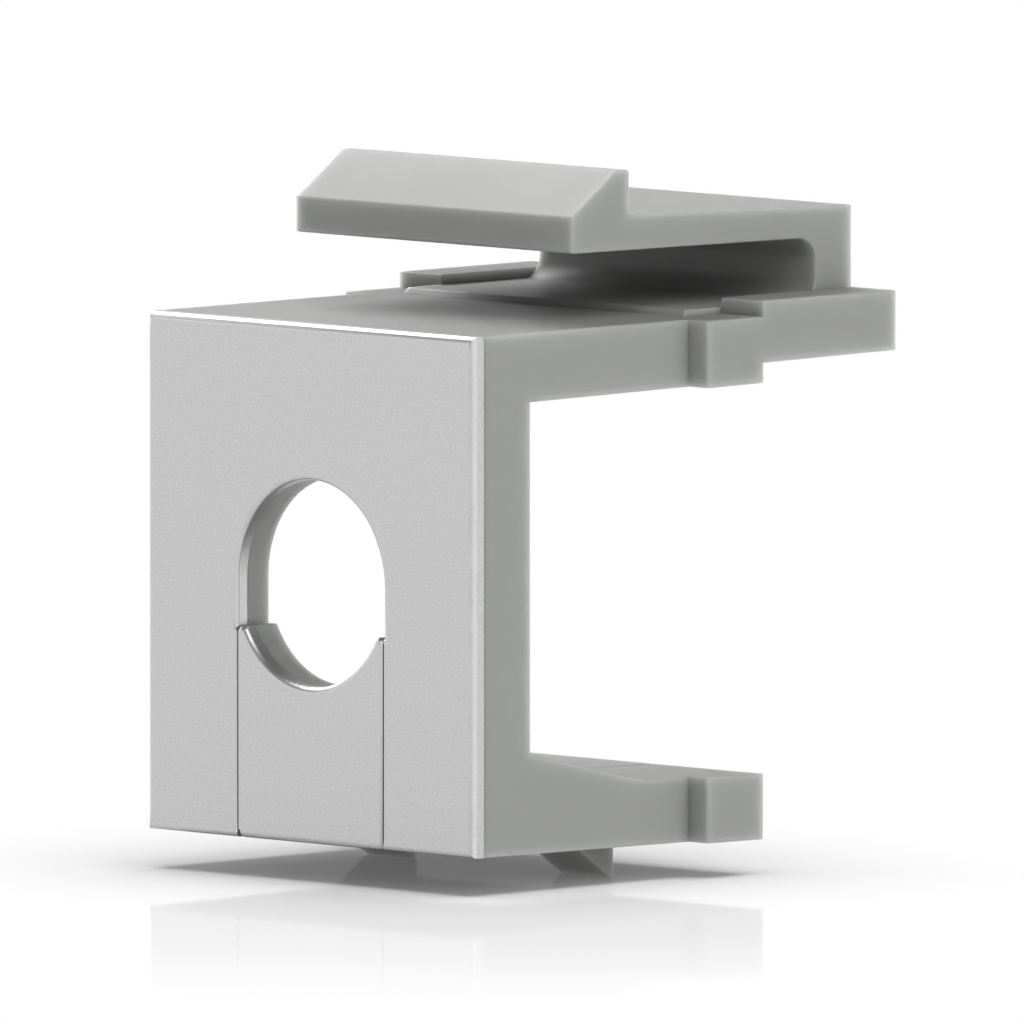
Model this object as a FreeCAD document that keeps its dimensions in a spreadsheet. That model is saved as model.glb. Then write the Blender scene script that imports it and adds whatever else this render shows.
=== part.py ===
"""Snap-in keystone insert with a cable hole that a slider closes from below.

Depths run along +Y from the front face, heights along +Z from the lower edge of the
face, and widths lie either side of the middle plane X = 0. Each sub-part is then set
down so that the origin is where the cable hole's axis meets the front face.
"""

import FreeCAD
import Part
import Sketcher

import os

# Driving sizes in millimetres and degrees: name, value, what it measures.
SIZES = [
    ("face_width", 14.46, "width of the front face"),
    ("face_height", 16.3, "height of the front face"),
    ("face_layer", 0.48, "thickness of the silver front layer"),
    ("face_edge_radius", 0.18, "rounding of the silver layers' front edges"),
    ("hole_radius", 3.25, "radius of the cable hole and half the slot's width"),
    ("hole_height", 8.15, "height of the cable hole's axis"),
    ("wall_depth", 1.45, "depth of the thin front wall's rear face"),
    ("rib_depth", 2.55, "depth of the side ribs behind the front wall"),
    ("rib_width", 1.2, "width of each side rib"),
    ("arm_depth", 12.0, "depth of the arms' rear ends"),
    ("upper_arm_thickness", 2.18, "thickness of the upper arm at the wall"),
    ("lower_arm_thickness", 2.07, "thickness of the lower arm behind its ramp"),
    ("ramp_height", 3.1, "height of the lower arm's ramp at the wall"),
    ("ramp_depth", 7.5, "depth where the ramp meets the flat of the lower arm"),
    ("draft_angle", 0.6, "moulding draft of the arms and the tail"),
    ("stop_depth", 9.55, "depth of the side stops' front faces"),
    ("stop_step", 0.87, "how far each side stop stands out from the arm"),
    ("stop_radius", 0.15, "rounding of the stops' outer front edges"),
    ("tail_depth", 17.9, "depth of the tail block's rear face"),
    ("tail_step", 0.63, "step up from the upper arm's underside to the tail's"),
    ("rail_rise", 0.5, "height of the tail's side rails over the arm"),
    ("pad_depth", 10.3, "depth of the raised pad's front edge"),
    ("pad_rise", 0.19, "height of the raised pad over the arm"),
    ("rail_space", 12.4, "width of the raised pad and of the space between the rails"),
    ("latch_side_gap", 0.06, "space between each side of the latch and the rail beside it"),
    ("catch_depth", 8.0, "depth of the catch faces of the hook and the lugs"),
    ("latch_gap", 2.23, "space from the upper arm to the latch's underside at the hook"),
    ("latch_sag", 0.09, "drop of the latch's underside from the hook to its root"),
    ("latch_thickness", 0.94, "thickness of the latch at its root"),
    ("latch_wall", 1.6, "thickness of the latch's upright root"),
    ("latch_root_radius", 0.75, "rounding inside the latch's bend"),
    ("hook_flat", 0.55, "length of the hook's crest in front of its catch face"),
    ("hook_ramp", 2.0, "length of the hook's ramp from its nose to its crest"),
    ("hook_nose_height", 1.12, "height of the hook's nose"),
    ("hook_reach", 1.38, "height of the hook's crest over the latch"),
    ("hook_edge_radius", 0.12, "rounding of the hook's nose and crest"),
    ("lug_drop", 1.22, "how far the lugs reach below the face's lower edge"),
    ("lug_flat", 0.15, "length of the flat under each lug"),
    ("lug_ramp", 1.7, "length of each lug's ramp in front of its flat"),
    ("lug_width", 2.2, "width of each lug"),
    ("slide_gap", 0.06, "gap between the slider and the slot on each side"),
    ("slider_tip_width", 0.31, "width of the flat on each of the slider's tips"),
    ("slider_corner_radius", 0.22, "rounding of the silver slider layer's outer corners"),
    ("guide_depth", 4.2, "depth of the guide tongues' front faces on the slider's foot"),
    ("guide_width", 1.2, "width of each guide tongue along the foot"),
    ("guide_reach", 0.5, "how far each guide tongue stands out from the foot"),
    ("guide_height", 1.5, "height of the guide tongues' tops, which stop the slider"),
]

# Sheet formulas that several sketches share.
DRAFT = "tan(Sizes.draft_angle * 1 deg)"
HALF_FACE = "Sizes.face_width / 2"
BODY_WIDTH = "(Sizes.face_width + 2 * Sizes.stop_step)"
HALF_SLIDER = "(Sizes.hole_radius - Sizes.slide_gap)"
TIP_ACROSS = f"({HALF_SLIDER} - Sizes.slider_tip_width)"
SLIDER_TIP = f"(Sizes.hole_height - sqrt(Sizes.hole_radius ^ 2 - {TIP_ACROSS} ^ 2))"
UPPER_ARM_UNDER = "(Sizes.face_height - Sizes.upper_arm_thickness)"
PAD_TOP = "(Sizes.face_height + Sizes.pad_rise)"
LATCH_WIDTH = "(Sizes.rail_space - 2 * Sizes.latch_side_gap)"
LATCH_UNDER_FRONT = "(Sizes.face_height + Sizes.latch_gap)"
LATCH_UNDER_REAR = f"({LATCH_UNDER_FRONT} - Sizes.latch_sag)"
LATCH_TOP_REAR = f"({LATCH_UNDER_REAR} + Sizes.latch_thickness)"
LATCH_TOP_FRONT = f"({LATCH_UNDER_FRONT} + Sizes.hook_nose_height)"
HOOK_TOP = f"({LATCH_TOP_FRONT} + Sizes.hook_reach)"
HOOK_CREST_DEPTH = "(Sizes.catch_depth - Sizes.hook_flat)"
HOOK_FRONT_DEPTH = f"({HOOK_CREST_DEPTH} - Sizes.hook_ramp)"
LUG_FLAT_DEPTH = "(Sizes.catch_depth - Sizes.lug_flat)"
LUG_FRONT_DEPTH = f"({LUG_FLAT_DEPTH} - Sizes.lug_ramp)"
LATCH_ROOT_DEPTH = "(Sizes.tail_depth - Sizes.latch_wall)"
BEND_DEPTH = f"({LATCH_ROOT_DEPTH} - Sizes.latch_root_radius)"

HOLE_AXIS = ("0", "Sizes.hole_height")

NEAR = 1e-4


def lower_edge(depth):
    """Height of the lower arm's drafted underside at a depth."""
    return f"-({depth} - Sizes.face_layer) * {DRAFT}"


def lower_arm_top(depth):
    """Height of the lower arm's flat at a depth."""
    return f"Sizes.lower_arm_thickness - ({depth} - Sizes.face_layer) * {DRAFT}"


def upper_arm_under(depth):
    """Height of the upper arm's drafted underside at a depth."""
    return f"{UPPER_ARM_UNDER} + ({depth} - Sizes.rib_depth) * {DRAFT}"


def make_sheet(document):
    """Fill the sheet of driving sizes: a note in column A, the value in column B."""
    sheet = document.addObject("Spreadsheet::Sheet", "Sizes")
    for row, (name, size, note) in enumerate(SIZES, start=1):
        sheet.set(f"A{row}", note)
        sheet.set(f"B{row}", str(size))
        sheet.setAlias(f"B{row}", name)
    document.recompute()


def make_body(document, label):
    """Start a sub-part whose origin is where the hole's axis meets the front face."""
    body = document.addObject("PartDesign::Body", label)
    body.Label = label
    body.setExpression("Placement.Base.z", "-Sizes.hole_height")
    return body


def formula_value(owner, formula):
    return float(owner.evalExpression(formula))


def formula_point(owner, pair):
    return FreeCAD.Vector(formula_value(owner, pair[0]), formula_value(owner, pair[1]), 0)


def make_sketch(body, name, role):
    """Start a sketch on one of the sub-part's own origin planes."""
    sketch = body.newObject("Sketcher::SketchObject", name)
    plane = next(item for item in body.Origin.OriginFeatures if item.Role == role)
    sketch.AttachmentSupport = [(plane, "")]
    sketch.MapMode = "FlatFace"
    return sketch


def draw_outline(sketch, corners, arcs=None):
    """Draw a closed outline through corners given as pairs of sheet formulas.

    arcs maps the number of a corner to the centre, as such a pair, of the arc of at most half
    a turn that leaves it, anticlockwise at half a turn; all other edges are straight.
    """
    arcs = arcs or {}
    points = [formula_point(sketch, corner) for corner in corners]
    count = len(points)
    starts = []
    for number, start in enumerate(points):
        end = points[(number + 1) % count]
        if number not in arcs:
            sketch.addGeometry(Part.LineSegment(start, end))
            starts.append(1)
            continue
        centre = formula_point(sketch, arcs[number])
        circle = Part.Circle(centre, FreeCAD.Vector(0, 0, 1), start.distanceToPoint(centre))
        anticlockwise = (start - centre).cross(end - centre).z > -NEAR
        first, last = (start, end) if anticlockwise else (end, start)
        sketch.addGeometry(Part.ArcOfCircle(circle, circle.parameter(first), circle.parameter(last)))
        starts.append(1 if anticlockwise else 2)
    for number in range(count):
        following = (number + 1) % count
        joint = Sketcher.Constraint("Coincident", number, 3 - starts[number], following, starts[following])
        sketch.addConstraint(joint)
    for number, (across, up) in enumerate(corners):
        place_point(sketch, "DistanceX", number, starts[number], points[number].x, across)
        place_point(sketch, "DistanceY", number, starts[number], points[number].y, up)
    for number, (_, up) in arcs.items():
        place_point(sketch, "DistanceY", number, 3, formula_value(sketch, up), up)


def place_point(sketch, kind, geometry, point, size, formula):
    """Hold one point of a sketch at a distance from the sketch's origin."""
    number = sketch.addConstraint(Sketcher.Constraint(kind, -1, 1, geometry, point, size))
    sketch.setExpression(f"Constraints[{number}]", formula)


def pad_across(body, name, corners, width, arcs=None):
    """Add a side outline, in depth and height, over a width about the middle plane."""
    sketch = make_sketch(body, f"{name}_outline", "YZ_Plane")
    draw_outline(sketch, corners, arcs)
    pad = body.newObject("PartDesign::Pad", name)
    pad.Profile = sketch
    pad.Midplane = True
    pad.setExpression("Length", width)
    return pad


def pocket_across(body, name, corners, width):
    """Cut a side outline, in depth and height, over a width about the middle plane."""
    sketch = make_sketch(body, f"{name}_outline", "YZ_Plane")
    draw_outline(sketch, corners)
    pocket = body.newObject("PartDesign::Pocket", name)
    pocket.Profile = sketch
    pocket.Midplane = True
    pocket.setExpression("Length", width)
    return pocket


def front_sketch(body, name, depth, corners, arcs=None):
    """Draw a front outline, in width and height, at a depth behind the front face."""
    sketch = make_sketch(body, name, "XZ_Plane")
    sketch.setExpression("AttachmentOffset.Base.z", f"-({depth})")
    draw_outline(sketch, corners, arcs)
    return sketch


def pad_back(body, name, depth, length, corners, arcs=None):
    """Add a front outline from a depth backwards."""
    sketch = front_sketch(body, f"{name}_outline", depth, corners, arcs)
    pad = body.newObject("PartDesign::Pad", name)
    pad.Profile = sketch
    pad.Reversed = True
    pad.setExpression("Length", length)
    return pad


def pocket_back(body, name, depth, length, corners, arcs=None):
    """Cut a front outline from a depth backwards."""
    sketch = front_sketch(body, f"{name}_outline", depth, corners, arcs)
    pocket = body.newObject("PartDesign::Pocket", name)
    pocket.Profile = sketch
    pocket.setExpression("Length", length)
    return pocket


def edges_of(feature, test):
    """Names of the feature's edges that pass a test on their bounding boxes."""
    names = []
    for number, edge in enumerate(feature.Shape.Edges, start=1):
        if test(edge.BoundBox):
            names.append(f"Edge{number}")
    if not names:
        raise RuntimeError(f"no edge of {feature.Name} to finish")
    return names


def round_edges(body, name, base, test, radius):
    """Round the edges of the last feature that pass a test."""
    body.Document.recompute()
    rounding = body.newObject("PartDesign::Fillet", name)
    rounding.Base = (base, edges_of(base, test))
    rounding.setExpression("Radius", radius)
    return rounding


def same(first, second):
    return abs(first - second) < NEAR


def slot_outline(below):
    """Cable hole outline: a round top over a slot that runs down past the lower edge."""
    return [
        ("Sizes.hole_radius", below),
        ("Sizes.hole_radius", "Sizes.hole_height"),
        ("-Sizes.hole_radius", "Sizes.hole_height"),
        ("-Sizes.hole_radius", below),
    ]


def make_insert_body(document):
    """Grey moulding: front wall, arms, stops, tail, latch and catch lugs."""
    body = make_body(document, "insert_body")
    pad_across(body, "wall_and_arms", [
        ("Sizes.face_layer", "0"),
        ("Sizes.arm_depth", lower_edge("Sizes.arm_depth")),
        ("Sizes.arm_depth", lower_arm_top("Sizes.arm_depth")),
        ("Sizes.ramp_depth", lower_arm_top("Sizes.ramp_depth")),
        ("Sizes.rib_depth", "Sizes.ramp_height"),
        ("Sizes.rib_depth", UPPER_ARM_UNDER),
        ("Sizes.arm_depth", upper_arm_under("Sizes.arm_depth")),
        ("Sizes.arm_depth", "Sizes.face_height"),
        ("Sizes.face_layer", "Sizes.face_height"),
    ], "Sizes.face_width")
    pad_across(body, "upper_stops_and_tail", [
        ("Sizes.stop_depth", upper_arm_under("Sizes.stop_depth")),
        ("Sizes.arm_depth", upper_arm_under("Sizes.arm_depth")),
        ("Sizes.arm_depth", f"{upper_arm_under('Sizes.arm_depth')} + Sizes.tail_step"),
        ("Sizes.tail_depth", f"{upper_arm_under('Sizes.tail_depth')} + Sizes.tail_step"),
        ("Sizes.tail_depth", "Sizes.face_height"),
        ("Sizes.stop_depth", "Sizes.face_height"),
    ], BODY_WIDTH)
    pad_across(body, "lower_stops", [
        ("Sizes.stop_depth", lower_edge("Sizes.stop_depth")),
        ("Sizes.arm_depth", lower_edge("Sizes.arm_depth")),
        ("Sizes.arm_depth", lower_arm_top("Sizes.arm_depth")),
        ("Sizes.stop_depth", lower_arm_top("Sizes.stop_depth")),
    ], BODY_WIDTH)
    pad_across(body, "rails", [
        ("Sizes.arm_depth", "Sizes.face_height"),
        ("Sizes.tail_depth", "Sizes.face_height"),
        ("Sizes.tail_depth", "Sizes.face_height + Sizes.rail_rise"),
        ("Sizes.arm_depth", "Sizes.face_height + Sizes.rail_rise"),
    ], BODY_WIDTH)
    pocket_across(body, "space_between_rails", [
        ("Sizes.arm_depth", "Sizes.face_height"),
        ("Sizes.tail_depth", "Sizes.face_height"),
        ("Sizes.tail_depth", "Sizes.face_height + Sizes.rail_rise"),
        ("Sizes.arm_depth", "Sizes.face_height + Sizes.rail_rise"),
    ], "Sizes.rail_space")
    pad_across(body, "catch_lugs", [
        (LUG_FRONT_DEPTH, lower_edge(LUG_FRONT_DEPTH)),
        (LUG_FLAT_DEPTH, "-Sizes.lug_drop"),
        ("Sizes.catch_depth", "-Sizes.lug_drop"),
        ("Sizes.catch_depth", lower_edge("Sizes.catch_depth")),
    ], "2 * (Sizes.hole_radius + Sizes.lug_width)")
    pocket_back(body, "cable_slot", "Sizes.face_layer", "Sizes.rib_depth - Sizes.face_layer",
                slot_outline("-Sizes.lug_drop"), {1: HOLE_AXIS})
    pocket_across(body, "arm_slot", [
        ("Sizes.face_layer", "-Sizes.lug_drop"),
        ("Sizes.arm_depth", "-Sizes.lug_drop"),
        ("Sizes.arm_depth", "Sizes.ramp_height"),
        ("Sizes.face_layer", "Sizes.ramp_height"),
    ], "2 * Sizes.hole_radius")
    pocket_across(body, "wall_recess", [
        ("Sizes.wall_depth", "Sizes.ramp_height"),
        ("Sizes.rib_depth", "Sizes.ramp_height"),
        ("Sizes.rib_depth", UPPER_ARM_UNDER),
        ("Sizes.wall_depth", UPPER_ARM_UNDER),
    ], "Sizes.face_width - 2 * Sizes.rib_width")
    pocket_across(body, "guide_grooves", [
        ("Sizes.guide_depth - Sizes.slide_gap", "-Sizes.lug_drop"),
        ("Sizes.guide_depth + Sizes.guide_width + Sizes.slide_gap", "-Sizes.lug_drop"),
        ("Sizes.guide_depth + Sizes.guide_width + Sizes.slide_gap", "Sizes.guide_height + Sizes.slide_gap"),
        ("Sizes.guide_depth - Sizes.slide_gap", "Sizes.guide_height + Sizes.slide_gap"),
    ], "2 * (Sizes.hole_radius + Sizes.guide_reach)")
    pad_across(body, "raised_pad", [
        ("Sizes.pad_depth", "Sizes.face_height"),
        ("Sizes.tail_depth", "Sizes.face_height"),
        ("Sizes.tail_depth", PAD_TOP),
        ("Sizes.pad_depth + Sizes.pad_rise", PAD_TOP),
    ], "Sizes.rail_space")
    latch = pad_across(body, "latch", [
        (BEND_DEPTH, "Sizes.face_height"),
        ("Sizes.tail_depth", "Sizes.face_height"),
        ("Sizes.tail_depth", LATCH_TOP_REAR),
        ("Sizes.catch_depth", LATCH_TOP_FRONT),
        ("Sizes.catch_depth", HOOK_TOP),
        (HOOK_CREST_DEPTH, HOOK_TOP),
        (HOOK_FRONT_DEPTH, LATCH_TOP_FRONT),
        (HOOK_FRONT_DEPTH, LATCH_UNDER_FRONT),
        (BEND_DEPTH, LATCH_UNDER_REAR),
        (LATCH_ROOT_DEPTH, f"{LATCH_UNDER_REAR} - Sizes.latch_root_radius"),
        (LATCH_ROOT_DEPTH, f"{PAD_TOP} + Sizes.latch_root_radius"),
        (BEND_DEPTH, PAD_TOP),
    ], LATCH_WIDTH, {
        8: (BEND_DEPTH, f"{LATCH_UNDER_REAR} - Sizes.latch_root_radius"),
        10: (BEND_DEPTH, f"{PAD_TOP} + Sizes.latch_root_radius"),
    })
    finish_insert_edges(body, latch)
    return body


def finish_insert_edges(body, last):
    """Round the hook's nose and crest and the outer front edges of the stops."""
    hook_front = formula_value(last, HOOK_FRONT_DEPTH)
    hook_catch = formula_value(last, "Sizes.catch_depth")
    hook_top = formula_value(last, HOOK_TOP)
    stop_depth = formula_value(last, "Sizes.stop_depth")
    half_body = formula_value(last, f"{BODY_WIDTH} / 2")

    def on_hook(box):
        nose = same(box.YMin, hook_front) and same(box.YMax, hook_front)
        crest = same(box.YMin, hook_catch) and same(box.YMax, hook_catch) and same(box.ZMin, hook_top)
        return nose or crest

    def on_stop(box):
        upright = same(box.YMin, stop_depth) and same(box.YMax, stop_depth) and same(box.XLength, 0)
        return upright and same(abs(box.XMin), half_body)

    hook = round_edges(body, "hook_edges", last, on_hook, "Sizes.hook_edge_radius")
    round_edges(body, "stop_edges", hook, on_stop, "Sizes.stop_radius")


def make_face_plate(document):
    """Silver front layer: an upside-down U round the cable hole and its slot."""
    body = make_body(document, "face_plate")
    pad_back(body, "plate", "0", "Sizes.face_layer", [
        (HALF_FACE, "0"),
        (HALF_FACE, "Sizes.face_height"),
        (f"-{HALF_FACE}", "Sizes.face_height"),
        (f"-{HALF_FACE}", "0"),
    ])
    hole = pocket_back(body, "plate_hole", "0", "Sizes.face_layer", slot_outline(SLIDER_TIP),
                       {1: HOLE_AXIS})
    round_edges(body, "plate_edges", hole, lambda box: same(box.YMax, 0), "Sizes.face_edge_radius")
    # Beside the slider the slot's edges stay sharp, so that only a thin seam shows there.
    pocket_back(body, "slider_slot", "0", "Sizes.face_layer", [
        ("Sizes.hole_radius", "0"),
        ("Sizes.hole_radius", SLIDER_TIP),
        ("-Sizes.hole_radius", SLIDER_TIP),
        ("-Sizes.hole_radius", "0"),
    ])
    return body


def slider_outline():
    """Front outline of the slider: straight sides and a hollow top between two tips."""
    return [
        (f"-{TIP_ACROSS}", SLIDER_TIP),
        (TIP_ACROSS, SLIDER_TIP),
        (HALF_SLIDER, SLIDER_TIP),
        (HALF_SLIDER, "0"),
        (f"-{HALF_SLIDER}", "0"),
        (f"-{HALF_SLIDER}", SLIDER_TIP),
    ]


def make_cable_slider(document):
    """Grey slider: an upright panel, a foot that fills the arm's slot, and guide tongues."""
    body = make_body(document, "cable_slider")
    pad_back(body, "panel", "Sizes.face_layer", "Sizes.wall_depth - Sizes.face_layer",
             slider_outline(), {0: HOLE_AXIS})
    foot_outline = [
        ("Sizes.face_layer", "0"),
        ("Sizes.arm_depth", lower_edge("Sizes.arm_depth")),
        ("Sizes.arm_depth", lower_arm_top("Sizes.arm_depth")),
        ("Sizes.ramp_depth", lower_arm_top("Sizes.ramp_depth")),
        ("Sizes.rib_depth", "Sizes.ramp_height"),
        ("Sizes.face_layer", "Sizes.ramp_height"),
    ]
    pad_across(body, "foot", foot_outline, f"2 * {HALF_SLIDER}")
    pad_across(body, "guide_tongues", [
        ("Sizes.guide_depth", lower_edge("Sizes.guide_depth")),
        ("Sizes.guide_depth + Sizes.guide_width", lower_edge("Sizes.guide_depth + Sizes.guide_width")),
        ("Sizes.guide_depth + Sizes.guide_width", "Sizes.guide_height"),
        ("Sizes.guide_depth", "Sizes.guide_height"),
    ], f"2 * ({HALF_SLIDER} + Sizes.guide_reach)")
    return body


def make_slider_plate(document):
    """Silver front layer of the slider."""
    body = make_body(document, "slider_plate")
    plate = pad_back(body, "plate", "0", "Sizes.face_layer", slider_outline(), {0: HOLE_AXIS})
    half_slider = formula_value(plate, HALF_SLIDER)

    def at_outer_corner(box):
        return same(abs(box.XMin), half_slider) and same(box.XLength, 0) and same(box.ZLength, 0)

    corners = round_edges(body, "plate_corners", plate, at_outer_corner, "Sizes.slider_corner_radius")
    round_edges(body, "plate_edges", corners, lambda box: same(box.YMax, 0), "Sizes.face_edge_radius")
    return body


def check_document(document, bodies):
    """Stop before anything is written if a feature failed or a shape is unsound."""
    for item in document.Objects:
        if "Invalid" in item.State or "Error" in item.State:
            raise RuntimeError(f"{item.Label} failed: {item.State}")
    for body in bodies:
        shape = body.Shape
        if shape.isNull() or not shape.isValid() or len(shape.Solids) != 1:
            raise RuntimeError(f"{body.Label} is not one sound solid")


def main():
    document = FreeCAD.newDocument("keystone_insert")
    make_sheet(document)
    bodies = [
        make_insert_body(document),
        make_face_plate(document),
        make_cable_slider(document),
        make_slider_plate(document),
    ]
    document.recompute()
    check_document(document, bodies)
    os.makedirs("parts", exist_ok=True)
    for body in bodies:
        body.Shape.exportStep(f"parts/{body.Label}.step")
        print(body.Label, round(body.Shape.Volume, 3), body.Shape.BoundBox)


main()
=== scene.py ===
"""Keystone blank insert with a cable hole: the dressed model and its studio.

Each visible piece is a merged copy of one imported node. Its sharp moulded edges are softened and it
gets a satin plastic or a fine silver finish. All lengths are in metres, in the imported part's frame:
+X to the right seen from the front, +Y from the front face to the rear, +Z up towards the latch.
"""

import math

import bmesh
import bpy
from bpy.props import FloatProperty, FloatVectorProperty, PointerProperty
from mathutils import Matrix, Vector


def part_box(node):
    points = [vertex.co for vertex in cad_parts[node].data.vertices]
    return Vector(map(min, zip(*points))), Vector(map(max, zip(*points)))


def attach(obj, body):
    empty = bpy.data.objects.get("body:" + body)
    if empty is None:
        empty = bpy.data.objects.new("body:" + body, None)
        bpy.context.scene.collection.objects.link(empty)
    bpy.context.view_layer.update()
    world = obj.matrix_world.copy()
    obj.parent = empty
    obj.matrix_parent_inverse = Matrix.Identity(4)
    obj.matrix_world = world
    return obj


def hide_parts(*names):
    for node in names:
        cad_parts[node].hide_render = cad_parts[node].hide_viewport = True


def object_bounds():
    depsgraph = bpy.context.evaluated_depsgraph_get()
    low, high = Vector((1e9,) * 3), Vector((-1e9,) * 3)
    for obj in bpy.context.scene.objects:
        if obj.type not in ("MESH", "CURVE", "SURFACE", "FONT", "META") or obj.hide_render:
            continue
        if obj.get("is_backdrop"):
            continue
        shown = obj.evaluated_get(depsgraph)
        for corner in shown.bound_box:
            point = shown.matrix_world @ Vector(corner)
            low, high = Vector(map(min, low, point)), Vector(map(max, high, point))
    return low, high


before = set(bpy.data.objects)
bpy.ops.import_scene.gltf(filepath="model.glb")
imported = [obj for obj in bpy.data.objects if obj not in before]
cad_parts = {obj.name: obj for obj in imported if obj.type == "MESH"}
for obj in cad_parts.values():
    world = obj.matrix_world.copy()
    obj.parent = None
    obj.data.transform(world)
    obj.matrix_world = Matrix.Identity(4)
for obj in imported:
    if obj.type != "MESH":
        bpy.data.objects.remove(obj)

bl_info = {
    "name": "Keystone blank insert",
    "version": (1, 0, 0),
    "blender": (4, 5, 0),
    "location": "View3D > Sidebar > Keystone",
    "description": "Dresses the packed keystone insert and sets it in a pale studio",
    "category": "Object",
}

MILLIMETRE = 0.001
CAD_LOW, CAD_HIGH = (corner.copy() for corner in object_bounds())
CAD_CENTRE = (CAD_LOW + CAD_HIGH) / 2
LAYER_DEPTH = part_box("face_plate")[1].y
WHITE = (1.0, 1.0, 1.0, 1.0)

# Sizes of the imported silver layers: the rounding of their front edges and of the slider's corners.
PACKED_ROUNDING = 0.18 * MILLIMETRE
PACKED_CORNER = 0.22 * MILLIMETRE

# Where the changed roundings of the silver layers end, counted in packed roundings from the layer's end:
# the ring of points that is cut there, and the height below which no point is moved.
FACE_RING = 3.0
FACE_FOOT = 2.0
SLIDER_RING = 1.5
SLIDER_FOOT = 1.25

# Tolerances: points that lie in one place, doubled points left by a bevel, edges at the joint of silver
# and plastic, edges beside the slider, and the Y of normals that look straight to the front or the rear.
NEAR = 0.002 * MILLIMETRE
DOUBLED = 0.1 * NEAR
JOINT_REACH = 0.01 * MILLIMETRE
SLOT_REACH = 0.1 * MILLIMETRE
STRAIGHT_NORMAL = 0.999

# Bends between two faces: joined as flat up to the first, rounded on the plastic and beside the slider
# from the second and the third, and shaded sharp from the last.
FLAT_BEND = math.radians(0.2)
PLASTIC_BEND = math.radians(40.0)
SLOT_BEND = math.radians(60.0)
SHADING_BEND = math.radians(35.0)

# The mesh attribute that marks rounded edges, and the spans that most of a slow or a fine noise lies in.
EDGE_MARK = "edge"
SLOW_SPAN = {"From Min": 0.3, "From Max": 0.7}
FINE_SPAN = {"From Min": 0.25, "From Max": 0.75}


class KEYSTONE_PG_sizes(bpy.types.PropertyGroup):
    """Small roundings, the width of the seams and the scales of the surface textures."""

    edge_radius: FloatProperty(
        name="Edge rounding", description="Rounding of the moulding's sharp outer edges",
        default=0.05 * MILLIMETRE, min=0.0, unit="LENGTH", precision=6)
    slider_edge_radius: FloatProperty(
        name="Slider edge rounding", description="Rounding of the slider moulding's sharp outer edges",
        default=0.05 * MILLIMETRE, min=0.0, unit="LENGTH", precision=6)
    seam_radius: FloatProperty(
        name="Seam rounding",
        description="Rounding of the silver edges on both sides of the slider's seams",
        default=0.08 * MILLIMETRE, min=0.0, unit="LENGTH", precision=6)
    seam_closing: FloatProperty(
        name="Seam closing",
        description="How much narrower each silver seam is than the gap the slider needs",
        default=0.02 * MILLIMETRE, min=0.0, unit="LENGTH", precision=6)
    face_side_radius: FloatProperty(
        name="Face side rounding", description="Rounding of the face's front edges at its two sides",
        default=0.215 * MILLIMETRE, min=0.0, unit="LENGTH", precision=6)
    face_top_radius: FloatProperty(
        name="Face top rounding", description="Rounding of the face's front edge at its top",
        default=0.24 * MILLIMETRE, min=0.0, unit="LENGTH", precision=6)
    plastic_grain: FloatProperty(
        name="Plastic grain", description="Size of one grain of the satin moulding texture",
        default=0.06 * MILLIMETRE, min=1e-6, unit="LENGTH", precision=6)
    silver_grain: FloatProperty(
        name="Silver grain", description="Size of one grain of the fine silver finish",
        default=0.07 * MILLIMETRE, min=1e-6, unit="LENGTH", precision=6)


class KEYSTONE_PG_finish(bpy.types.PropertyGroup):
    """Colours and gloss of the two finishes."""

    plastic_colour: FloatVectorProperty(
        name="Plastic", description="Light grey of the moulded plastic",
        subtype="COLOR", size=3, min=0.0, max=1.0, default=(0.287, 0.293, 0.284))
    silver_colour: FloatVectorProperty(
        name="Silver", description="Colour of the silver front layer",
        subtype="COLOR", size=3, min=0.0, max=1.0, default=(0.546, 0.544, 0.548))
    plastic_roughness: FloatProperty(
        name="Plastic roughness", description="Mean roughness of the satin plastic",
        default=0.48, min=0.0, max=1.0, subtype="FACTOR")
    silver_roughness: FloatProperty(
        name="Silver roughness", description="Mean roughness of the silver front layer",
        default=0.36, min=0.0, max=1.0, subtype="FACTOR")


class KEYSTONE_PG_stage(bpy.types.PropertyGroup):
    """Camera, lamps and floor."""

    azimuth: FloatProperty(
        name="Azimuth", description="Turn of the camera from the front towards the right",
        default=math.radians(45.0), subtype="ANGLE")
    elevation: FloatProperty(
        name="Elevation", description="Height of the camera over the horizon",
        default=math.radians(4.95), subtype="ANGLE")
    distance: FloatProperty(
        name="Distance", description="From the camera to the middle of the insert",
        default=1.38045, min=0.1, unit="LENGTH", precision=5)
    aim_drop: FloatProperty(
        name="Aim drop", description="How far the camera aims below the middle of the insert",
        default=0.045 * MILLIMETRE, unit="LENGTH", precision=6)
    lens: FloatProperty(
        name="Lens", description="Focal length for a sensor 36 mm wide",
        default=1546.875, min=1.0, unit="CAMERA")
    wall_light: FloatProperty(
        name="Wall light", description="Strength of the soft light from the two sides",
        default=0.92, min=0.0)
    room_gloss: FloatProperty(
        name="Room gloss", description="Faint light of the whole room, seen only in gloss",
        default=0.1, min=0.0)
    floor_colour: FloatVectorProperty(
        name="Floor", description="Pale colour of the floor",
        subtype="COLOR", size=3, min=0.0, max=1.0, default=(0.84, 0.84, 0.84))
    floor_size: FloatProperty(
        name="Floor size", description="Half the length of the square floor",
        default=2.5, min=0.1, unit="LENGTH")


def settings(context):
    """The scene's settings for sizes and for finishes."""
    return context.scene.keystone_insert_sizes, context.scene.keystone_insert_finish


def add_node(tree, kind, inputs=None, **values):
    """Add a node, set its properties and the sockets that stay the same all over."""
    node = tree.nodes.new(kind)
    for name, value in values.items():
        setattr(node, name, value)
    for socket, value in (inputs or {}).items():
        node.inputs[socket].default_value = value
    return node


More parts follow.
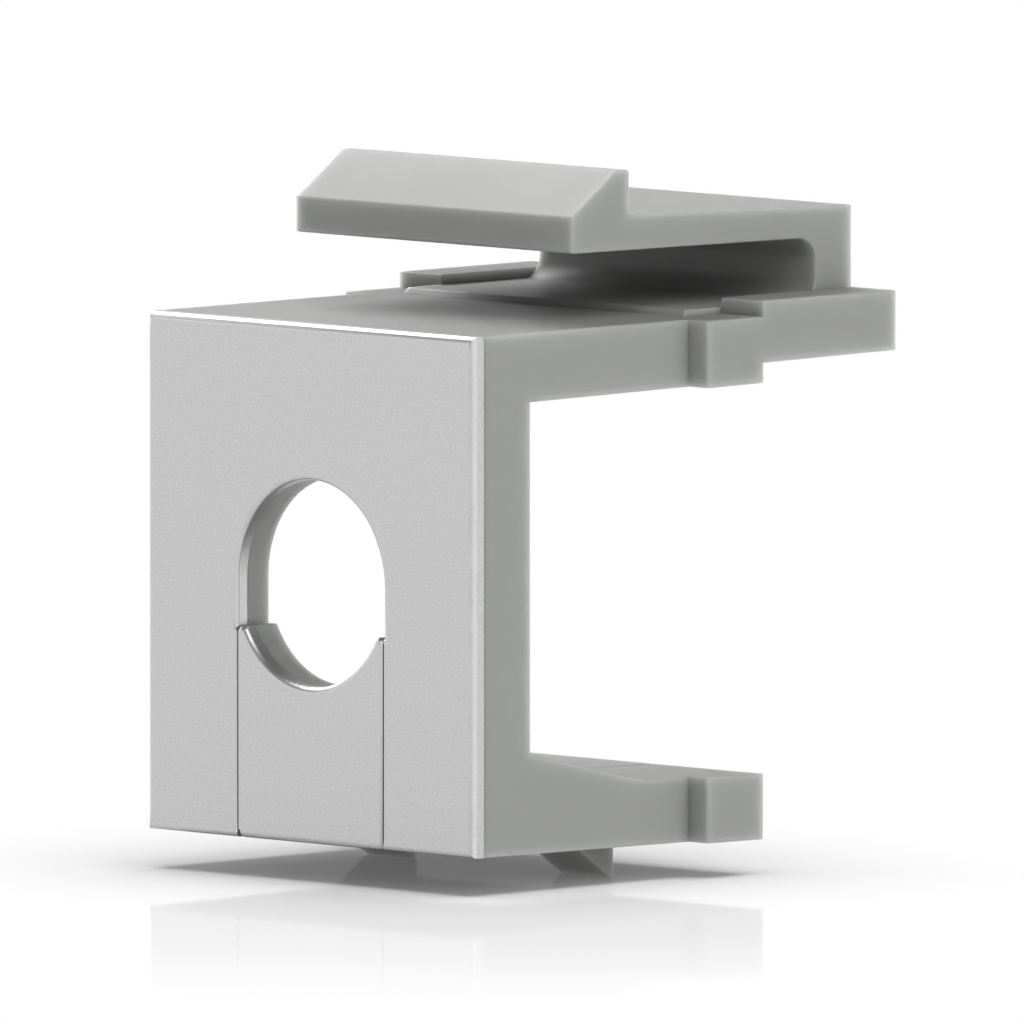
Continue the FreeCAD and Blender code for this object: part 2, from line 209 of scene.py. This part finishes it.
def combine(tree, kind, *sources, **values):
    """Add a node, link the sources to its first sockets in order and give its first output."""
    node = add_node(tree, kind, **values)
    for source, socket in zip(sources, node.inputs):
        tree.links.new(source, socket)
    return node.outputs[0]


def new_group(name, sockets_in, sockets_out):
    """Start a shader node group with named float sockets."""
    group = bpy.data.node_groups.new(name, "ShaderNodeTree")
    for label, value in sockets_in.items():
        socket = group.interface.new_socket(name=label, in_out="INPUT", socket_type="NodeSocketFloat")
        socket.default_value = value
    for label in sockets_out:
        group.interface.new_socket(name=label, in_out="OUTPUT", socket_type="NodeSocketFloat")
    return group, group.nodes.new("NodeGroupInput"), group.nodes.new("NodeGroupOutput")


def grain_group():
    """Shared surface texture: a fine grain and a slow mottle, both from 0 to 1."""
    name = "Surface grain"
    if name in bpy.data.node_groups:
        return bpy.data.node_groups[name]
    group, given, result = new_group(
        name, {"Grain Scale": 10000.0, "Mottle Scale": 300.0}, ["Grain", "Mottle"])
    coordinates = add_node(group, "ShaderNodeTexCoord")
    grain = add_node(group, "ShaderNodeTexNoise", {"Detail": 2.0, "Roughness": 0.6})
    mottle = add_node(group, "ShaderNodeTexNoise", {"Detail": 4.0, "Roughness": 0.55})
    for texture, scale, output in ((grain, "Grain Scale", "Grain"), (mottle, "Mottle Scale", "Mottle")):
        group.links.new(coordinates.outputs["Object"], texture.inputs["Vector"])
        group.links.new(given.outputs[scale], texture.inputs["Scale"])
        group.links.new(texture.outputs["Fac"], result.inputs[output])
    return group


def edge_group():
    """Shared edge mask for polish and painted light: the rounded edges, broken up by a noise. It makes
    them glossier and carries the painted tone of their colour.
    """
    name = "Edge polish"
    if name in bpy.data.node_groups:
        return bpy.data.node_groups[name]
    group, given, result = new_group(name, {"Breakup Scale": 900.0, "Amount": 1.0}, ["Polish"])
    coordinates = add_node(group, "ShaderNodeTexCoord")
    edge = add_node(group, "ShaderNodeAttribute", attribute_name=EDGE_MARK)
    breakup = add_node(group, "ShaderNodeTexNoise", {"Detail": 3.0})
    group.links.new(coordinates.outputs["Object"], breakup.inputs["Vector"])
    group.links.new(given.outputs["Breakup Scale"], breakup.inputs["Scale"])
    broken = combine(group, "ShaderNodeMapRange", breakup.outputs["Fac"], inputs=SLOW_SPAN)
    on_edge = combine(group, "ShaderNodeMath", broken, edge.outputs["Fac"], operation="MULTIPLY")
    amount = combine(group, "ShaderNodeMath", on_edge, given.outputs["Amount"], operation="MULTIPLY")
    group.links.new(amount, result.inputs["Polish"])
    return group


def shade_of(colour, factor):
    """A colour made darker or lighter, with full alpha."""
    return tuple(min(1.0, channel * factor) for channel in colour) + (1.0,)


def start_material(name):
    """A new material with its Principled shader."""
    material = bpy.data.materials.new(name)
    material.use_nodes = True
    tree = material.node_tree
    return material, tree, tree.nodes["Principled BSDF"]


def textured_finish(tree, shader, colour, look):
    """Colour, roughness and bump that change over the surface, from the shared groups, with painted
    light on the rounded edges: their colour is scaled by the painted edge tone.
    """
    grain = add_node(tree, "ShaderNodeGroup", {
        "Grain Scale": 1.0 / look["grain"],
        "Mottle Scale": look["mottle_scale"]}, node_tree=grain_group())
    polish_and_painted_light = add_node(tree, "ShaderNodeGroup", {"Amount": look["polish_and_painted_light"]}, node_tree=edge_group())

    slow = add_node(tree, "ShaderNodeMix", {
        "A": shade_of(colour, 1.0 - look["mottle_tone"]),
        "B": shade_of(colour, 1.0 + look["mottle_tone"])}, data_type="RGBA")
    fleck = add_node(tree, "ShaderNodeMapRange", {
        **FINE_SPAN, "To Min": 1.0 - look["grain_tone"], "To Max": 1.0 + look["grain_tone"]})
    toned = add_node(tree, "ShaderNodeVectorMath", operation="SCALE")
    # Painted light: the rounded edges take the painted edge tone, which is painted shade on the plastic
    # and a painted highlight on the silver.
    painted_edge_tone_mix = add_node(tree, "ShaderNodeMix", {"B": shade_of(colour, look["painted_edge_tone"])}, data_type="RGBA")
    tree.links.new(grain.outputs["Mottle"], slow.inputs["Factor"])
    tree.links.new(grain.outputs["Grain"], fleck.inputs["Value"])
    tree.links.new(slow.outputs["Result"], toned.inputs[0])
    tree.links.new(fleck.outputs["Result"], toned.inputs["Scale"])
    tree.links.new(polish_and_painted_light.outputs["Polish"], painted_edge_tone_mix.inputs["Factor"])
    tree.links.new(toned.outputs["Vector"], painted_edge_tone_mix.inputs["A"])
    tree.links.new(painted_edge_tone_mix.outputs["Result"], shader.inputs["Base Color"])

    rough = add_node(tree, "ShaderNodeMapRange", {
        **SLOW_SPAN,
        "To Min": look["roughness"] - look["roughness_spread"],
        "To Max": look["roughness"] + look["roughness_spread"]})
    smoothed = add_node(tree, "ShaderNodeMath", {1: -look["polish_gloss"]}, operation="MULTIPLY_ADD")
    tree.links.new(grain.outputs["Mottle"], rough.inputs["Value"])
    tree.links.new(polish_and_painted_light.outputs["Polish"], smoothed.inputs[0])
    tree.links.new(rough.outputs["Result"], smoothed.inputs[2])
    tree.links.new(smoothed.outputs["Value"], shader.inputs["Roughness"])

    bump = add_node(tree, "ShaderNodeBump", {"Strength": look["bump"], "Distance": look["grain_depth"]})
    tree.links.new(grain.outputs["Grain"], bump.inputs["Height"])
    tree.links.new(bump.outputs["Normal"], shader.inputs["Normal"])


def plastic_material():
    """Light grey satin plastic."""
    name = "grey_satin_plastic"
    if name in bpy.data.materials:
        return bpy.data.materials[name]
    sizes, finish = settings(bpy.context)
    material, tree, shader = start_material(name)
    shader.inputs["IOR"].default_value = 1.5
    shader.inputs["Subsurface Weight"].default_value = 1.0
    shader.inputs["Subsurface Radius"].default_value = (1.0, 1.0, 1.0)
    shader.inputs["Subsurface Scale"].default_value = 1.5 * MILLIMETRE
    # The rounded edges are painted 4 % darker: painted shade that damps the highlight they catch.
    textured_finish(tree, shader, finish.plastic_colour, {
        "grain": sizes.plastic_grain, "mottle_scale": 260.0, "mottle_tone": 0.008, "grain_tone": 0.02,
        "painted_edge_tone": 0.96, "polish_and_painted_light": 0.8, "polish_gloss": 0.04,
        "roughness": finish.plastic_roughness, "roughness_spread": 0.02,
        "bump": 0.12, "grain_depth": 0.02 * MILLIMETRE})
    return material


def silver_material():
    """Silver front layer with a fine granular finish."""
    name = "fine_grained_silver"
    if name in bpy.data.materials:
        return bpy.data.materials[name]
    sizes, finish = settings(bpy.context)
    material, tree, shader = start_material(name)
    shader.inputs["Metallic"].default_value = 1.0
    # The rounded edges are painted 8 % lighter: a painted highlight.
    textured_finish(tree, shader, finish.silver_colour, {
        "grain": sizes.silver_grain, "mottle_scale": 400.0, "mottle_tone": 0.01, "grain_tone": 0.128,
        "painted_edge_tone": 1.08, "polish_and_painted_light": 0.8, "polish_gloss": 0.10,
        "roughness": finish.silver_roughness, "roughness_spread": 0.02,
        "bump": 0.15, "grain_depth": 0.01 * MILLIMETRE})
    return material


def merged_copy(node):
    """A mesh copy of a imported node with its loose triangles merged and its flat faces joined."""
    mesh = bmesh.new()
    mesh.from_mesh(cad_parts[node].data)
    bmesh.ops.remove_doubles(mesh, verts=mesh.verts, dist=NEAR)
    bmesh.ops.dissolve_limit(mesh, angle_limit=FLAT_BEND, use_dissolve_boundaries=False,
                             verts=mesh.verts[:], edges=mesh.edges[:])
    return mesh


def at_layer_joint(edge):
    """Whether an edge lies where the silver layer meets the grey plastic."""
    return all(abs(vertex.co.y - LAYER_DEPTH) < JOINT_REACH for vertex in edge.verts)


def soften_edges(mesh, radius):
    """Round the sharp outward edges and mark the new faces as edges."""
    marks = mesh.faces.layers.float.new(EDGE_MARK)
    sharp = []
    for edge in mesh.edges:
        if edge.calc_face_angle_signed(0.0) > PLASTIC_BEND and not at_layer_joint(edge):
            sharp.append(edge)
    rounded = bmesh.ops.bevel(mesh, geom=sharp, offset=radius, offset_type="OFFSET", segments=4,
                              profile=0.5, affect="EDGES", material=-1, clamp_overlap=False)
    for face in rounded["faces"]:
        face[marks] = 1.0


def mark_front_rounding(mesh, depth):
    """Mark the rounded front edges of a silver layer."""
    marks = mesh.faces.layers.float.new(EDGE_MARK)
    for face in mesh.faces:
        centre = face.calc_center_median()
        if centre.y < depth and abs(face.normal.y) < STRAIGHT_NORMAL:
            face[marks] = 1.0


def cut_ring(mesh, height):
    """Cut the mesh at a height, so that a change of its edges ends there."""
    bmesh.ops.bisect_plane(mesh, geom=mesh.verts[:] + mesh.edges[:] + mesh.faces[:], dist=NEAR,
                           plane_co=(0.0, 0.0, height), plane_no=(0.0, 0.0, 1.0))


def resize_face_rounding(mesh, side_radius, top_radius):
    """Widen the rounding of the face's front edges at its sides and its top."""
    low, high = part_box("face_plate")
    cut_ring(mesh, low.z + FACE_RING * PACKED_ROUNDING)
    cut_ring(mesh, high.z - FACE_RING * PACKED_ROUNDING)
    foot = low.z + FACE_FOOT * PACKED_ROUNDING
    for vertex in mesh.verts:
        if vertex.co.y > PACKED_ROUNDING + NEAR or vertex.co.z < foot:
            continue
        from_side = high.x - abs(vertex.co.x)
        from_top = high.z - vertex.co.z
        growth = 1.0
        if from_side < PACKED_ROUNDING + NEAR:
            growth = side_radius / PACKED_ROUNDING
            vertex.co.x = math.copysign(high.x - from_side * growth, vertex.co.x)
        if from_top < PACKED_ROUNDING + NEAR:
            growth = top_radius / PACKED_ROUNDING
            vertex.co.z = high.z - from_top * growth
        vertex.co.y *= growth


def tighten_slider_rounding(mesh, radius, closing):
    """Make the rounding of the slider's front edges smaller along its seams, and the seams narrower."""
    low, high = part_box("slider_plate")
    corner = Vector((high.x - PACKED_CORNER, high.z - PACKED_CORNER))
    cut_ring(mesh, low.z + SLIDER_RING * PACKED_ROUNDING)
    foot = low.z + SLIDER_FOOT * PACKED_ROUNDING
    share = radius / PACKED_ROUNDING
    for vertex in mesh.verts:
        in_front = vertex.co.y < PACKED_ROUNDING + NEAR
        at_side = abs(vertex.co.x) > corner.x - NEAR
        if not in_front or not at_side or vertex.co.z < foot:
            continue
        reach = Vector((abs(vertex.co.x) - corner.x, max(vertex.co.z - corner.y, 0.0)))
        if reach.length < PACKED_CORNER - PACKED_ROUNDING - NEAR:
            continue
        moved = reach.normalized() * (PACKED_CORNER - share * (PACKED_CORNER - reach.length))
        vertex.co.x = math.copysign(corner.x + moved.x, vertex.co.x)
        vertex.co.z += moved.y - reach.y
        vertex.co.y *= share
    for vertex in mesh.verts:
        if abs(vertex.co.x) > corner.x - NEAR:
            vertex.co.x += math.copysign(closing, vertex.co.x)


def round_slot_edges(mesh, radius):
    """Round the face's sharp front edges beside the slider."""
    slot_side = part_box("slider_plate")[1].x
    sharp = []
    for edge in mesh.edges:
        upright = abs(edge.verts[0].co.x - edge.verts[1].co.x) < NEAR
        in_front = all(vertex.co.y < NEAR for vertex in edge.verts)
        by_slot = all(0.0 < abs(vertex.co.x) - slot_side < SLOT_REACH for vertex in edge.verts)
        if upright and in_front and by_slot and edge.calc_face_angle(0.0) > SLOT_BEND:
            sharp.append(edge)
    if not sharp:
        raise RuntimeError("no slot edges were found in the face")
    bmesh.ops.bevel(mesh, geom=sharp, offset=radius, offset_type="OFFSET", segments=3, profile=0.5,
                    affect="EDGES", material=-1, clamp_overlap=False)
    bmesh.ops.remove_doubles(mesh, verts=mesh.verts[:], dist=DOUBLED)


def keep_corners(mesh):
    """Leave the corners that stay sharp without smooth shading across them."""
    for edge in mesh.edges:
        edge.smooth = edge.calc_face_angle(0.0) < SHADING_BEND


def add_piece(name, mesh, node, body, material):
    """Make a piece of a finished mesh and set it on its body in place of its node."""
    keep_corners(mesh)
    data = bpy.data.meshes.new(name)
    mesh.to_mesh(data)
    mesh.free()
    data.materials.append(material)
    data.polygons.foreach_set("use_smooth", [True] * len(data.polygons))
    piece = bpy.data.objects.new(name, data)
    bpy.context.scene.collection.objects.link(piece)
    normals = piece.modifiers.new("Flat faces stay flat", "WEIGHTED_NORMAL")
    normals.mode = "FACE_AREA"
    normals.weight = 100
    normals.keep_sharp = True
    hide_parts(node)
    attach(piece, body)


class KEYSTONE_OT_body_moulding(bpy.types.Operator):
    """Grey moulding with its wall, arms, stops, latch and lugs"""

    bl_idname = "keystone.body_moulding"
    bl_label = "Body moulding"

    def execute(self, context):
        sizes, _ = settings(context)
        mesh = merged_copy("insert_body")
        soften_edges(mesh, sizes.edge_radius)
        add_piece("body_moulding", mesh, "insert_body", "insert", plastic_material())
        return {"FINISHED"}


class KEYSTONE_OT_face_layer(bpy.types.Operator):
    """Silver front layer round the cable hole"""

    bl_idname = "keystone.face_layer"
    bl_label = "Face layer"

    def execute(self, context):
        sizes, _ = settings(context)
        mesh = merged_copy("face_plate")
        resize_face_rounding(mesh, sizes.face_side_radius, sizes.face_top_radius)
        round_slot_edges(mesh, sizes.seam_radius)
        mark_front_rounding(mesh, sizes.face_top_radius)
        add_piece("face_layer", mesh, "face_plate", "insert", silver_material())
        return {"FINISHED"}


class KEYSTONE_OT_slider_moulding(bpy.types.Operator):
    """Grey slider that closes the slot below the cable hole"""

    bl_idname = "keystone.slider_moulding"
    bl_label = "Slider moulding"

    def execute(self, context):
        sizes, _ = settings(context)
        mesh = merged_copy("cable_slider")
        soften_edges(mesh, sizes.slider_edge_radius)
        add_piece("slider_moulding", mesh, "cable_slider", "slider", plastic_material())
        return {"FINISHED"}


class KEYSTONE_OT_slider_layer(bpy.types.Operator):
    """Silver front layer of the slider"""

    bl_idname = "keystone.slider_layer"
    bl_label = "Slider layer"

    def execute(self, context):
        sizes, _ = settings(context)
        mesh = merged_copy("slider_plate")
        tighten_slider_rounding(mesh, sizes.seam_radius, sizes.seam_closing)
        mark_front_rounding(mesh, PACKED_ROUNDING)
        add_piece("slider_layer", mesh, "slider_plate", "slider", silver_material())
        return {"FINISHED"}


PIECES = ("body_moulding", "face_layer", "slider_moulding", "slider_layer")

# Softboxes stand at one distance in metres. Each row has a name, the turn from the front towards the
# right and the height over the horizon in degrees, the width in metres, the power in watts, what the
# softbox lights, and whether its gloss shows.
SOFTBOX_DISTANCE = 0.8
SOFTBOXES = [
    ("softbox_top_left", -100.0, 42.5, 0.6, 4.85, PIECES, True),
    ("softbox_right", 90.0, 40.0, 0.6, 2.55, PIECES, True),
    ("softbox_camera", 45.0, 35.0, 0.5, 1.85, PIECES, True),
    ("softbox_front", -12.0, 22.0, 0.5, 0.2, PIECES, True),
    ("softbox_low_left", -112.0, 12.0, 0.35, 0.8, PIECES, True),
    ("softbox_back", 180.0, 8.0, 0.6, 0.8, PIECES, False),
    ("softbox_over_floor", 150.0, 83.0, 0.85, 8.0, ("floor",), True),
]

# Sines of the heights between which the white background fades to the faint gloss of the room.
HORIZON_LOW = 0.02
HORIZON_HIGH = 0.3

# The floor's own light, towards the insert and towards the camera, and the distance from the insert in
# metres at which it has faded to white.
FLOOR_BOUNCE = 0.15
FLOOR_LIFT = 0.055
FLOOR_FADE = 0.016

# The floor's mirror: its roughness, its strength under the insert and beside it, and the distances in
# metres at which it has risen, begins to fade and has faded out.
MIRROR_ROUGHNESS = 0.04
MIRROR_UNDER = 0.05
MIRROR_BESIDE = 0.26
MIRROR_RISEN = 0.003
MIRROR_FADES = 0.006
MIRROR_FADED = 0.036


def direction(azimuth, elevation):
    """Unit vector from the insert towards a place, by its turn from the front and its height."""
    return Vector((math.sin(azimuth) * math.cos(elevation),
                   -math.cos(azimuth) * math.cos(elevation),
                   math.sin(elevation)))


def aim(thing, towards):
    """Turn an object so that its -Z looks along a direction, with its Y upwards."""
    thing.rotation_euler = towards.to_track_quat("-Z", "Y").to_euler()


def make_camera(stage):
    """The camera of the photo."""
    camera = bpy.data.cameras.new("photo_camera")
    camera.lens = stage.lens
    camera.sensor_width = 36.0
    camera.clip_start = 0.01
    camera.clip_end = 20.0
    view = bpy.data.objects.new("photo_camera", camera)
    bpy.context.scene.collection.objects.link(view)
    outwards = direction(stage.azimuth, stage.elevation)
    view.location = CAD_CENTRE - Vector((0.0, 0.0, stage.aim_drop)) + outwards * stage.distance
    aim(view, -outwards)
    bpy.context.scene.camera = view


def make_softbox(name, azimuth, elevation, width, power, lit, glossy):
    """A square lamp that looks at the insert and lights only the named objects."""
    lamp = bpy.data.lights.new(name, "AREA")
    lamp.shape = "SQUARE"
    lamp.size = width
    lamp.energy = power
    softbox = bpy.data.objects.new(name, lamp)
    bpy.context.scene.collection.objects.link(softbox)
    outwards = direction(math.radians(azimuth), math.radians(elevation))
    softbox.location = CAD_CENTRE + outwards * SOFTBOX_DISTANCE
    aim(softbox, -outwards)
    softbox.visible_camera = False
    softbox.visible_glossy = glossy
    receivers = bpy.data.collections.new(name + "_lights")
    for lit_name in lit:
        receivers.objects.link(bpy.data.objects[lit_name])
    softbox.light_linking.receiver_collection = receivers


def mirrored_rays(tree):
    """1 for rays that were mirrored or went through something clear."""
    path = add_node(tree, "ShaderNodeLightPath")
    return combine(tree, "ShaderNodeMath", path.outputs["Is Glossy Ray"],
                   path.outputs["Is Transmission Ray"], operation="MAXIMUM")


def shown_rays(tree):
    """1 for rays that show the background: from the camera, mirrored, or through something clear."""
    path = add_node(tree, "ShaderNodeLightPath")
    return combine(tree, "ShaderNodeMath", path.outputs["Is Camera Ray"], mirrored_rays(tree),
                   operation="MAXIMUM")


def smooth_range(tree, value, start, end, low, high):
    """Go smoothly from low to high while a value goes from start to end."""
    span = {"From Min": start, "From Max": end, "To Min": low, "To Max": high}
    return combine(tree, "ShaderNodeMapRange", value, inputs=span, interpolation_type="SMOOTHSTEP")


def make_world(stage):
    """White background, and soft light from two side walls for everything else."""
    world = bpy.data.worlds.new("studio")
    world.use_nodes = True
    tree = world.node_tree
    place = add_node(tree, "ShaderNodeTexCoord")
    parts = add_node(tree, "ShaderNodeSeparateXYZ")
    tree.links.new(place.outputs["Generated"], parts.inputs["Vector"])
    sideways = combine(tree, "ShaderNodeMath", parts.outputs["X"], inputs={1: 2.0}, operation="POWER")
    walls = combine(tree, "ShaderNodeMath", sideways, inputs={1: stage.wall_light}, operation="MULTIPLY")
    horizon = smooth_range(tree, parts.outputs["Z"], HORIZON_LOW, HORIZON_HIGH, 1.0, stage.room_gloss)
    strength = combine(tree, "ShaderNodeMath", horizon, mirrored_rays(tree), walls,
                       operation="MULTIPLY_ADD")
    light = tree.nodes["Background"]
    light.inputs["Color"].default_value = WHITE
    tree.links.new(strength, light.inputs["Strength"])
    white = add_node(tree, "ShaderNodeBackground", {"Color": WHITE, "Strength": 1.0})
    path = add_node(tree, "ShaderNodeLightPath")
    choice = combine(tree, "ShaderNodeMixShader", path.outputs["Is Camera Ray"],
                     light.outputs["Background"], white.outputs["Background"])
    tree.links.new(choice, tree.nodes["World Output"].inputs["Surface"])
    bpy.context.scene.world = world


def distance_from_insert(tree):
    """Distance on the floor from the place under the insert's wall and lower arm, in metres."""
    half_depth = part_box("cable_slider")[1].y / 2
    middle = (CAD_CENTRE.x, half_depth, CAD_LOW.z)
    half_size = (CAD_HIGH.x - CAD_CENTRE.x, half_depth, 0.0)
    nothing = (0.0, 0.0, 0.0)
    kind = "ShaderNodeVectorMath"
    place = add_node(tree, "ShaderNodeTexCoord")
    centred = combine(tree, kind, place.outputs["Object"], inputs={1: middle}, operation="SUBTRACT")
    mirrored = combine(tree, kind, centred, operation="ABSOLUTE")
    outside = combine(tree, kind, mirrored, inputs={1: half_size}, operation="SUBTRACT")
    clear = combine(tree, kind, outside, inputs={1: nothing}, operation="MAXIMUM")
    away = add_node(tree, kind, operation="LENGTH")
    tree.links.new(clear, away.inputs[0])
    return away.outputs["Value"]


def floor_material(colour):
    """Pale floor with a faint mirror, which fades to the white background away from the insert."""
    material, tree, shader = start_material("pale_floor")
    tree.nodes.remove(shader)
    paint = combine(tree, "ShaderNodeBsdfDiffuse", inputs={"Color": tuple(colour) + (1.0,)})
    bounce = combine(tree, "ShaderNodeEmission", inputs={"Strength": FLOOR_BOUNCE})
    lift = combine(tree, "ShaderNodeEmission", inputs={"Strength": FLOOR_LIFT})
    white = combine(tree, "ShaderNodeEmission", inputs={"Strength": 1.0})
    mirror = combine(tree, "ShaderNodeBsdfGlossy", inputs={"Roughness": MIRROR_ROUGHNESS})

    away = distance_from_insert(tree)
    fade = combine(tree, "ShaderNodeMapRange", away, inputs={"From Min": 0.0, "From Max": FLOOR_FADE})
    rise = smooth_range(tree, away, 0.0, MIRROR_RISEN, MIRROR_UNDER, MIRROR_BESIDE)
    fall = smooth_range(tree, away, MIRROR_FADES, MIRROR_FADED, 1.0, 0.0)
    near_shine = combine(tree, "ShaderNodeMath", rise, fall, operation="MULTIPLY")
    flat_view = add_node(tree, "ShaderNodeLayerWeight", {"Blend": 0.5})
    shine = combine(tree, "ShaderNodeMath", near_shine, flat_view.outputs["Facing"],
                    operation="MULTIPLY")

    lit = combine(tree, "ShaderNodeAddShader", paint, bounce)
    seen = combine(tree, "ShaderNodeAddShader", paint, lift)
    faded = combine(tree, "ShaderNodeMixShader", fade, seen, white)
    polished = combine(tree, "ShaderNodeMixShader", shine, faded, mirror)
    choice = combine(tree, "ShaderNodeMixShader", shown_rays(tree), lit, polished)
    tree.links.new(choice, tree.nodes["Material Output"].inputs["Surface"])
    return material


def make_floor(stage):
    """A square floor under the insert."""
    mesh = bmesh.new()
    bmesh.ops.create_grid(mesh, x_segments=1, y_segments=1, size=stage.floor_size)
    bmesh.ops.translate(mesh, verts=mesh.verts, vec=(0.0, CAD_CENTRE.y, CAD_LOW.z))
    data = bpy.data.meshes.new("floor")
    mesh.to_mesh(data)
    mesh.free()
    data.materials.append(floor_material(stage.floor_colour))
    floor = bpy.data.objects.new("floor", data)
    bpy.context.scene.collection.objects.link(floor)
    floor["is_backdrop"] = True


class KEYSTONE_OT_stage(bpy.types.Operator):
    """Pale floor, soft light and the camera"""

    bl_idname = "keystone.stage"
    bl_label = "Studio"

    def execute(self, context):
        stage = context.scene.keystone_insert_stage
        context.scene.view_settings.view_transform = "Standard"
        make_world(stage)
        make_floor(stage)
        for softbox in SOFTBOXES:
            make_softbox(*softbox)
        make_camera(stage)
        return {"FINISHED"}


OPERATORS = (
    KEYSTONE_OT_body_moulding,
    KEYSTONE_OT_face_layer,
    KEYSTONE_OT_slider_moulding,
    KEYSTONE_OT_slider_layer,
    KEYSTONE_OT_stage,
)


class KEYSTONE_PT_panel(bpy.types.Panel):
    """The insert's pieces and its studio"""

    bl_idname = "KEYSTONE_PT_panel"
    bl_label = "Keystone insert"
    bl_space_type = "VIEW_3D"
    bl_region_type = "UI"
    bl_category = "Keystone"

    def draw(self, context):
        for group in (*settings(context), context.scene.keystone_insert_stage):
            box = self.layout.box()
            for name in group.__annotations__:
                box.prop(group, name)
        for operator in OPERATORS:
            self.layout.operator(operator.bl_idname)


SETTING_GROUPS = {
    "keystone_insert_sizes": KEYSTONE_PG_sizes,
    "keystone_insert_finish": KEYSTONE_PG_finish,
    "keystone_insert_stage": KEYSTONE_PG_stage,
}


def register():
    """Add the settings, the operators and the panel."""
    for name, group in SETTING_GROUPS.items():
        bpy.utils.register_class(group)
        setattr(bpy.types.Scene, name, PointerProperty(type=group))
    for item in (*OPERATORS, KEYSTONE_PT_panel):
        bpy.utils.register_class(item)


def unregister():
    """Take the panel, the operators and the settings away again."""
    for item in reversed((*OPERATORS, KEYSTONE_PT_panel)):
        bpy.utils.unregister_class(item)
    for name, group in SETTING_GROUPS.items():
        delattr(bpy.types.Scene, name)
        bpy.utils.unregister_class(group)


def main():
    """Build every piece and the studio, and keep the sizes."""
    register()
    bpy.ops.keystone.body_moulding()
    bpy.ops.keystone.face_layer()
    bpy.ops.keystone.slider_moulding()
    bpy.ops.keystone.slider_layer()
    bpy.ops.keystone.stage()


if __name__ == "__main__":
    main()
